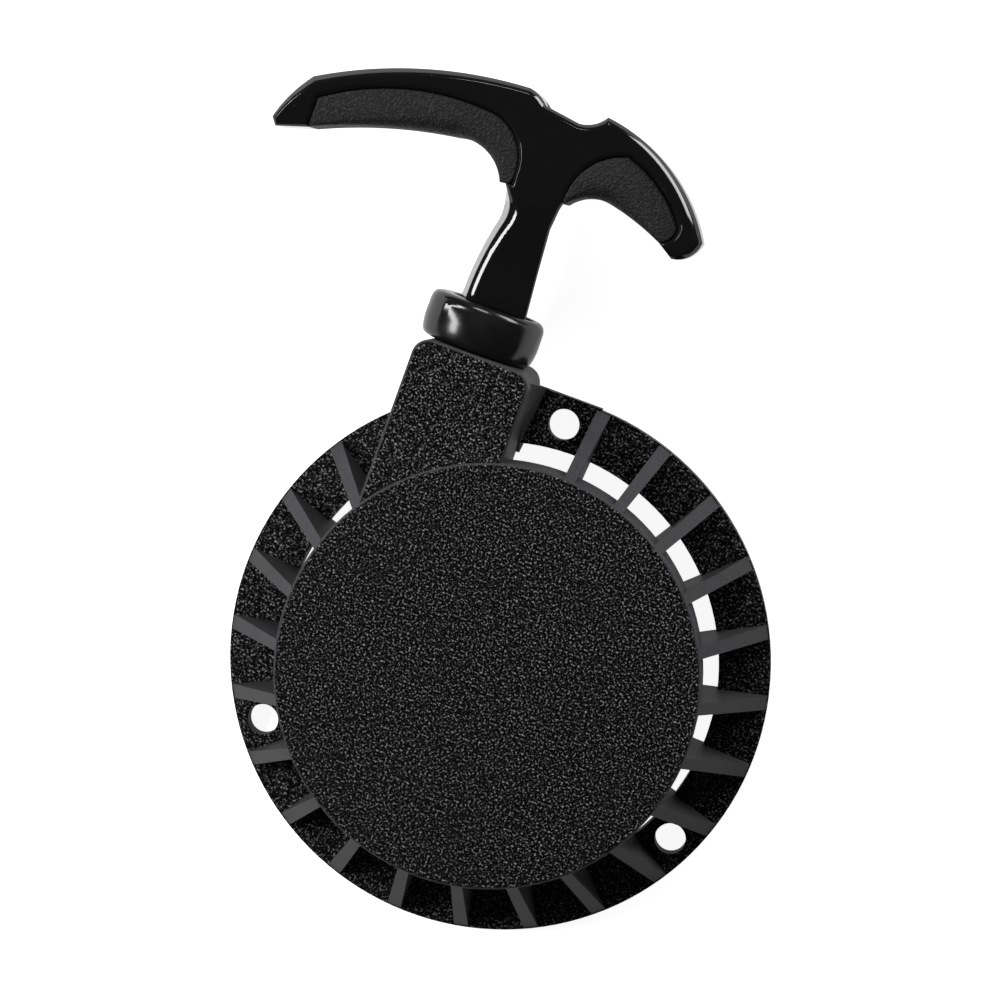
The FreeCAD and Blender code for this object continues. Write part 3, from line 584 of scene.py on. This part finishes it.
def rope_cutter(radius, y0, y1):
    """Cylinder about the rope axis, still in millimetres."""
    profile = [(0, y0), (radius, y0), (radius, y1), (0, y1)]
    return lathe("cutter", profile, Vector((0, 0, 0)), ALONG_ROPE, segments=64)


def join(main, others):
    """Adds the others' meshes to main's, each still a closed shell of its own."""
    bm = bmesh.new()
    bm.from_mesh(main.data)
    for other in others:
        bm.from_mesh(other.data)
        bpy.data.objects.remove(other)
    bm.to_mesh(main.data)
    bm.free()


def twist_stem(point):
    """Turns the stem about the rope, so that its left wall looks up; the turn dies out before the wings."""
    x, y, z = point
    if abs(x) > STEM_REACH:
        return point
    share = min(1.0, max(0.0, (TWIST_END - y) / TWIST_FADE))
    return Matrix.Rotation(math.radians(STEM_TWIST_DEG) * share * share * (3 - 2 * share), 3, "Y") @ point


def make_handle_body():
    """Gloss moulding: both wings, the stem with the rope's bore and the knot's pocket, and the tongues."""
    body = plate("handle_body_moulded", BODY_OUTLINE, HEAD_HALF, CHAMFER)
    cut_with(body, rope_cutter(ROPE_HOLE_R, FOOT - 1, KNOT_FLOOR_Y / MM + 1))
    cut_with(body, rope_cutter(KNOT_POCKET_R, KNOT_FLOOR_Y / MM, ABOVE_HANDLE))
    lowest = FOOT + 1
    cut_into_strips(body, [
        lowest + (SWELL_END - FOOT - 1) * k / SWELL_STRIPS for k in range(SWELL_STRIPS + 1)
    ])
    for v in body.data.vertices:
        v.co.z *= thickness_share(v.co.y)
        v.co = twist_stem(v.co)
    join(body, [
        plate("left_tongue", LEFT_TONGUE_OUTLINE, TONGUE_HALF, ROUND),
        plate("right_tongue", RIGHT_TONGUE_OUTLINE, TONGUE_HALF, ROUND),
    ])
    into_place(body)
    shade(body, 38)
    even = body.modifiers.new("even", "WEIGHTED_NORMAL")
    even.keep_sharp = True
    even.weight = 90
    apply_modifiers(body)
    dress(body, "handle_plastic")
    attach(body, "handle")
    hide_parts("handle_body")


def make_pad(name, node, outline):
    """Soft insert: a tight edge against the gloss body, a full round on the side the fingers pull on."""
    pad = plate(name, outline, PAD_HALF, ROUND)
    into_place(pad)
    shade(pad, 50)
    dress(pad, "grip_rubber")
    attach(pad, "handle")
    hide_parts(node)


# ---- bumper, rope and knots ---------------------------------------------------------------------------
# radii of the rubber collar's seat for the handle, bore, plug in the neck and the plug's lip
BUMPER_SEAT = 11.3 * MM
BUMPER_BORE = 4.05 * MM
PLUG = 7.0 * MM
PLUG_LIP = 8.4 * MM
LIP_LENGTH = 1.3 * MM
LIP_BACK = 2.2 * MM
SEAT_DEPTH = 1.2 * MM


def make_bumper():
    """Rubber collar: fat rounded edges outside, a seat for the handle's foot, a plug into the neck."""
    r = (bumper_high.x - bumper_low.x) / 2
    shift = (bumper_low.x + bumper_high.x) / 2 - ROPE_X
    y_out = bumper_high.y
    face_y = NECK_END_Y
    y_in = bumper_low.y
    y_seat = y_out - SEAT_DEPTH
    # each corner of the section: its radius, its height and the size of its rounding in millimetres
    section = [
        (BUMPER_BORE, y_in, 0),
        (PLUG_LIP, y_in, 0.5),
        (PLUG_LIP, y_in + LIP_LENGTH, 0.5),
        (PLUG, y_in + LIP_BACK, 0.5),
        (PLUG, face_y, 0),
        (r - 1.0 * MM, face_y, 1.9),
        (r, face_y + 4 * MM, 2.0),
        (r - 0.1 * MM, y_out - 3 * MM, 0),
        (r - 0.1 * MM, y_out, 3.0),
        (BUMPER_SEAT, y_out, 0.6),
        (BUMPER_SEAT, y_seat, 0.3),
        (BUMPER_BORE, y_seat, 0.4),
        (BUMPER_BORE, y_in, 0),
    ]
    corners = [(radius, y) for radius, y, rounding in section]
    profile = round_profile(corners, [rounding * MM for radius, y, rounding in section[1:-1]])
    bumper = lathe("bumper_collar", profile, Vector((ROPE_X, 0, ROPE_Z)), ALONG_ROPE, segments=128)
    # the outside sits a little off the rope, and the seat and the bore stay on it
    for v in bumper.data.vertices:
        reach = math.hypot(v.co.x - ROPE_X, v.co.z - ROPE_Z)
        share = min(1.0, max(0.0, (reach - BUMPER_SEAT) / (r - 1.2 * MM - BUMPER_SEAT)))
        v.co.x += shift * share
    shade(bumper, 40)
    dress(bumper, "bumper_rubber")
    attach(bumper, "housing")
    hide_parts("handle_bumper")


def tube_mesh(name, centre_line, radius_at, sides, closed=False):
    """Tube along points, with its own smooth frame; radius_at(i, angle) gives the surface."""
    count = len(centre_line)
    tangents = []
    for i in range(count):
        before = centre_line[(i - 1) % count] if closed or i > 0 else centre_line[0]
        after = centre_line[(i + 1) % count] if closed or i < count - 1 else centre_line[-1]
        tangents.append((after - before).normalized())
    side = tangents[0].orthogonal().normalized()
    verts, faces = [], []
    for i in range(count):
        side = (side - tangents[i] * side.dot(tangents[i])).normalized()
        other = tangents[i].cross(side)
        for k in range(sides):
            a = 2 * math.pi * k / sides
            verts.append(centre_line[i] + (side * math.cos(a) + other * math.sin(a)) * radius_at(i, a))
    for i in range(count if closed else count - 1):
        for k in range(sides):
            j, n = (i + 1) % count, (k + 1) % sides
            faces.append((i * sides + k, i * sides + n, j * sides + n, j * sides + k))
    if not closed:
        faces.append(tuple(range(sides - 1, -1, -1)))
        faces.append(tuple(range((count - 1) * sides, count * sides)))
    obj = mesh_object(name, verts, faces)
    fix_normals(obj)
    return obj


BRAID_DEPTH = 0.045
BRAID_STRANDS = 4
CORE_SHARE = 0.97


def braided_radius(radius, i_turns, angle):
    """Radius of a braided cord: two families of strands that cross on a round core."""
    one_way = abs(math.sin(BRAID_STRANDS * angle + i_turns))
    other_way = abs(math.sin(BRAID_STRANDS * angle - i_turns))
    return radius * (CORE_SHARE + BRAID_DEPTH * (one_way + other_way - 1.0))


RING_PITCH = 2.2 * MM
DRAWN_PITCH = 1.1 * MM
BRAID_TURN = 0.55


def smooth_inverse(w):
    """t where t*t*(3 - 2*t) is w."""
    return 0.5 - math.sin(math.asin(1 - 2 * w) / 3)


def rings_between(y, end):
    """Places from y on, a ring's pitch apart, that stay short of end."""
    places = []
    while y < end:
        places.append(y)
        y += RING_PITCH
    return places


def make_rope_lead():
    """The rope from the reel to the knot, with rings to spare between the neck and the handle, where it lengthens
    as it is pulled.
    """
    stretch_from = 50 * MM
    stretch_to = 84 * MM
    pull = frame["joints"][0]["range_m"][1]
    # enough rings in the stretch for the drawn rope's braid to stay even
    drawn_rings = round(pull / DRAWN_PITCH)
    places = rings_between(lead_low.y, stretch_from)
    for k in range(drawn_rings + 1):
        places.append(stretch_from + (stretch_to - stretch_from) * smooth_inverse(k / drawn_rings))
    places += rings_between(stretch_to + RING_PITCH, lead_high.y)
    places.append(lead_high.y)
    line = [Vector((ROPE_X, y, ROPE_Z)) for y in places]
    rope = tube_mesh("rope_run", line, lambda i, a: braided_radius(ROPE_R, i * BRAID_TURN, a), sides=24)
    shade(rope)
    dress(rope, "rope_cord")
    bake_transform(rope)
    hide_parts("rope_lead")


KNOT_RINGS = 150
KNOT_LENGTH = 1.25
KNOT_BRAID_TURN = 0.8


def make_knot(name, node, centre, size, rope_r, body):
    """An overhand knot pulled tight: a three-lobed closed path, with its own rope thickness."""
    line = []
    for k in range(KNOT_RINGS):
        t = 2 * math.pi * k / KNOT_RINGS
        x = math.sin(t) + 2 * math.sin(2 * t)
        z = math.cos(t) - 2 * math.cos(2 * t)
        y = -math.sin(3 * t) * KNOT_LENGTH
        line.append(centre + Vector((x, y, z)) * size)
    knot = tube_mesh(
        name, line, lambda i, a: braided_radius(rope_r, i * KNOT_BRAID_TURN, a), sides=20, closed=True
    )
    shade(knot)
    dress(knot, "rope_cord")
    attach(knot, body)
    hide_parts(node)


def make_knots():
    """The knot that the handle's stop plate holds, and the smaller one that the reel holds."""
    low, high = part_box("rope_handle_knot")
    make_knot("knot_in_handle", "rope_handle_knot", (low + high) / 2, 1.05 * MM, 1.5 * MM, "rope_end")
    low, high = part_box("rope_reel_knot")
    make_knot("knot_in_reel", "rope_reel_knot", (low + high) / 2, 0.62 * MM, 1.1 * MM, "reel")


# ---- stage --------------------------------------------------------------------------------------------
CAMERA_AT = Vector((41.42, 127.4, 789.85)) * MM
CAMERA_AIM = Vector((-14.41, 40.22, 0.0)) * MM
CAMERA_ROLL_DEG = 19.96
LENS_MM = 107.2
SENSOR_MM = 36.0
FARTHEST_SEEN = 20.0
LIT_MIDDLE = Vector((-15, 20, 15)) * MM
SHEET_HALF = 3.0
AMBIENT = 0.06


def aim_matrix(at, target, roll_deg=0.0):
    """Looks from at to target with +Y as up, then rolls about the line of sight."""
    back = (at - target).normalized()
    right = Vector((0, 1, 0)).cross(back).normalized()
    up = back.cross(right)
    turn = Matrix((right, up, back)).transposed().to_4x4()
    return Matrix.Translation(at) @ turn @ Matrix.Rotation(math.radians(roll_deg), 4, "Z")


def make_camera():
    data = bpy.data.cameras.new("camera")
    data.lens = LENS_MM
    data.sensor_width = SENSOR_MM
    data.clip_end = FARTHEST_SEEN
    camera = link(bpy.data.objects.new("camera", data))
    camera.matrix_world = aim_matrix(CAMERA_AT, CAMERA_AIM, CAMERA_ROLL_DEG)
    bpy.context.scene.camera = camera
    return camera


def softbox(name, camera, right, up, back, size, power):
    """Area light aimed at the object's middle, and placed from it along the camera's right, up and back."""
    at = LIT_MIDDLE + camera.matrix_world.to_3x3() @ Vector((right, up, back))
    data = bpy.data.lights.new(name, "AREA")
    data.shape = "RECTANGLE"
    data.size, data.size_y = size
    data.energy = power
    light = link(bpy.data.objects.new(name, data))
    light.matrix_world = aim_matrix(at, LIT_MIDDLE)


def make_floor():
    """A white sheet for the camera, a dimmer one for glossy walls to mirror, and one to light the object."""
    sheets = (
        ("floor_sheet", -0.4 * MM, 0.92, "camera"),
        ("floor_mirrored", -0.8 * MM, 0.45, "glossy"),
        ("floor_bounce", -1.2 * MM, 0.3, "diffuse"),
    )
    corner_signs = ((-1, -1), (1, -1), (1, 1), (-1, 1))
    for name, z, glow, seen_by in sheets:
        corners = [(SHEET_HALF * x, SHEET_HALF * y, z) for x, y in corner_signs]
        floor = mesh_object(name, corners, [(0, 1, 2, 3)])
        n = Nodes(name)
        cloud = n.noise(scale=3.0, detail=2.0, roughness=0.5)
        colour = n.mix_colour(cloud, grey(0.56), grey(0.6))
        paper = n.set(
            Base_Color=colour, Roughness=0.85, Emission_Color=grey(1.0), Emission_Strength=glow
        )
        floor.data.materials.append(paper)
        floor.visible_camera = seen_by == "camera"
        floor.visible_glossy = seen_by == "glossy"
        floor.visible_diffuse = seen_by == "diffuse"
        floor.visible_shadow = False


def make_world():
    world = bpy.data.worlds.new("studio")
    world.use_nodes = True
    background = world.node_tree.nodes["Background"]
    background.inputs["Color"].default_value = grey(1.0)
    background.inputs["Strength"].default_value = AMBIENT
    bpy.context.scene.world = world


# ---- build --------------------------------------------------------------------------------------------
dress_cad_nodes()
make_handle_body()
make_pad("pad_long_wing", "grip_pad_left", LEFT_PAD_OUTLINE)
make_pad("pad_short_wing", "grip_pad_right", RIGHT_PAD_OUTLINE)
make_bumper()
make_rope_lead()
make_knots()

camera = make_camera()
make_floor()
make_world()
softbox("key_left", camera, right=-0.78, up=0.28, back=0.58, size=(0.26, 0.7), power=10.0)
softbox("rim_right", camera, right=0.72, up=0.62, back=0.3, size=(0.3, 0.6), power=5.5)
softbox("top_soft", camera, right=0.1, up=0.85, back=0.6, size=(0.35, 0.2), power=3.0)
bpy.context.scene.view_settings.view_transform = "Standard"
